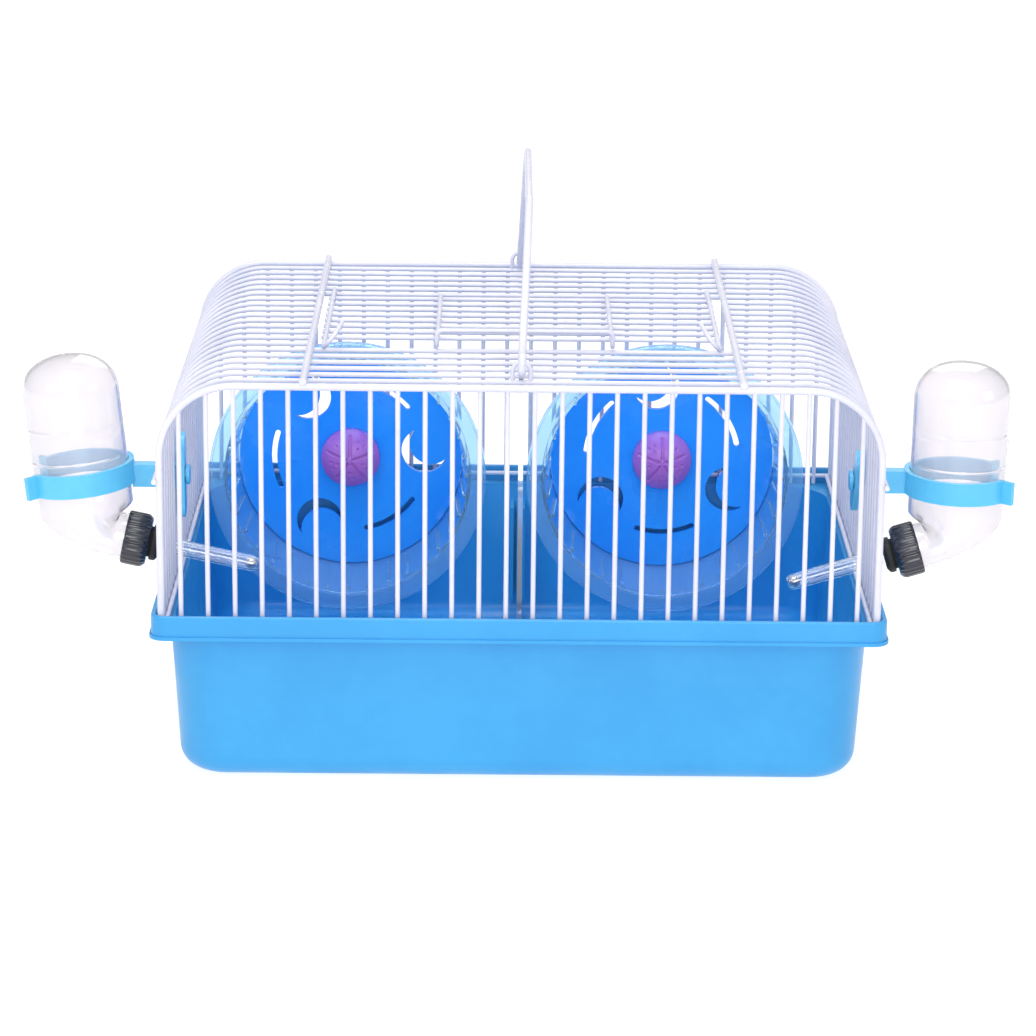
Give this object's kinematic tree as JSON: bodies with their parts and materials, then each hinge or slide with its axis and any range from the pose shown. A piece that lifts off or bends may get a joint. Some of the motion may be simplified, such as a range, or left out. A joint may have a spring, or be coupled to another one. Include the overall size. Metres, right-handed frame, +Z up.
{
  "type": "hamster cage",
  "caption": "Wire-topped small-animal cage: plastic tray, roof door, bail handle, running wheels and clip-on drinking bottles.",
  "frame": {"origin": "middle of the tray's flat underside", "axes": "+Z up, +X to the right across the two wheels, +Y from the front wires to the back wires"},
  "size_m": [0.4151, 0.2416, 0.2346],
  "materials": {
    "tray_plastic": "glossy moulded polypropylene",
    "divider_plastic": "thin frosted clear sheet",
    "coated_wire": "white plastic-dipped steel wire",
    "clear_plastic": "clear moulded polystyrene",
    "wheel_disc_plastic": "glossy moulded plastic",
    "hub_plastic": "glossy moulded plastic",
    "axle_steel": "plated steel",
    "bottle_plastic": "clear moulded plastic",
    "cap_plastic": "moulded plastic",
    "stopper_rubber": "soft rubber",
    "tube_plastic": "clear tube",
    "ball_steel": "polished",
    "holder_plastic": "glossy moulded plastic"
  },
  "bodies": {
    "tray": {"tray": "tray_plastic", "divider": "divider_plastic"},
    "wire_top": {"front_panel": "coated_wire", "back_panel": "coated_wire", "roof_wires": "coated_wire", "roof_cross_wires": "coated_wire", "front_handle_eye": "coated_wire", "back_handle_eye": "coated_wire", "left_side_wires": "coated_wire", "left_roof_bends": "coated_wire", "left_bottle_holder": "holder_plastic", "left_wheel_axle": "axle_steel", "left_wheel_clamp": "hub_plastic", "left_clamp_nut": "hub_plastic", "right_side_wires": "coated_wire", "right_roof_bends": "coated_wire", "right_bottle_holder": "holder_plastic", "right_wheel_axle": "axle_steel", "right_wheel_clamp": "hub_plastic", "right_clamp_nut": "hub_plastic"},
    "roof_door": {"door_panel": "coated_wire", "door_pull": "coated_wire", "left_door_hook": "coated_wire", "right_door_hook": "coated_wire"},
    "handle": {"carrying_handle": "coated_wire"},
    "left_wheel": {"left_wheel_drum": "clear_plastic", "left_wheel_disc": "wheel_disc_plastic", "left_hub_cap": "hub_plastic"},
    "left_bottle": {"left_bottle": "bottle_plastic"},
    "left_cap": {"left_bottle_cap": "cap_plastic", "left_stopper": "stopper_rubber", "left_drinking_tube": "tube_plastic"},
    "left_ball": {"left_tube_ball": "ball_steel"},
    "left_lock": {"left_lock_plate": "holder_plastic"},
    "right_wheel": {"right_wheel_drum": "clear_plastic", "right_wheel_disc": "wheel_disc_plastic", "right_hub_cap": "hub_plastic"},
    "right_bottle": {"right_bottle": "bottle_plastic"},
    "right_cap": {"right_bottle_cap": "cap_plastic", "right_stopper": "stopper_rubber", "right_drinking_tube": "tube_plastic"},
    "right_ball": {"right_tube_ball": "ball_steel"},
    "right_lock": {"right_lock_plate": "holder_plastic"}
  },
  "joints": [
    {"name": "top_lift", "type": "slide", "parent": "tray", "child": "wire_top", "axis": [0, 0, 1], "range_m": [-0.0002, 0.15]},
    {"name": "door_hinge", "type": "hinge", "parent": "wire_top", "child": "roof_door", "pos_m": [0, 0.0525, 0.1686], "axis": [-1, 0, 0], "range_deg": [0, 30]},
    {"name": "handle_fold", "type": "hinge", "parent": "wire_top", "child": "handle", "pos_m": [0, 0, 0.1731], "axis": [0, 1, 0], "range_deg": [-80, 0]},
    {"name": "left_wheel_spin", "type": "hinge", "parent": "wire_top", "child": "left_wheel", "pos_m": [-0.077, 0.09, 0.082], "axis": [0, 1, 0], "continuous": true},
    {"name": "left_bottle_slide", "type": "slide", "parent": "wire_top", "child": "left_bottle", "axis": [-0.1045, 0, 0.9945], "range_m": [-0.001, 0.008]},
    {"name": "left_cap_turn", "type": "hinge", "parent": "left_bottle", "child": "left_cap", "pos_m": [-0.17009, -0.04725, 0.08638], "axis": [0.9781, 0, -0.2079], "range_deg": [0, 360]},
    {"name": "left_ball_push", "type": "slide", "parent": "left_cap", "child": "left_ball", "axis": [-0.9781, 0, 0.2079], "range_m": [0, 0.002]},
    {"name": "left_lock_turn", "type": "hinge", "parent": "wire_top", "child": "left_lock", "pos_m": [-0.1414, -0.04725, 0.113], "axis": [1, 0, 0], "range_deg": [0, 90]},
    {"name": "right_wheel_spin", "type": "hinge", "parent": "wire_top", "child": "right_wheel", "pos_m": [0.066, 0.09, 0.082], "axis": [0, 1, 0], "continuous": true},
    {"name": "right_bottle_slide", "type": "slide", "parent": "wire_top", "child": "right_bottle", "axis": [0.0175, 0, 0.9998], "range_m": [-0.001, 0.008]},
    {"name": "right_cap_turn", "type": "hinge", "parent": "right_bottle", "child": "right_cap", "pos_m": [0.17246, -0.04725, 0.08521], "axis": [-0.9563, 0, -0.2924], "range_deg": [0, 360]},
    {"name": "right_ball_push", "type": "slide", "parent": "right_cap", "child": "right_ball", "axis": [0.9563, 0, 0.2924], "range_m": [0, 0.002]},
    {"name": "right_lock_turn", "type": "hinge", "parent": "wire_top", "child": "right_lock", "pos_m": [0.1414, -0.04725, 0.113], "axis": [1, 0, 0], "range_deg": [-40, 50]}
  ]
}
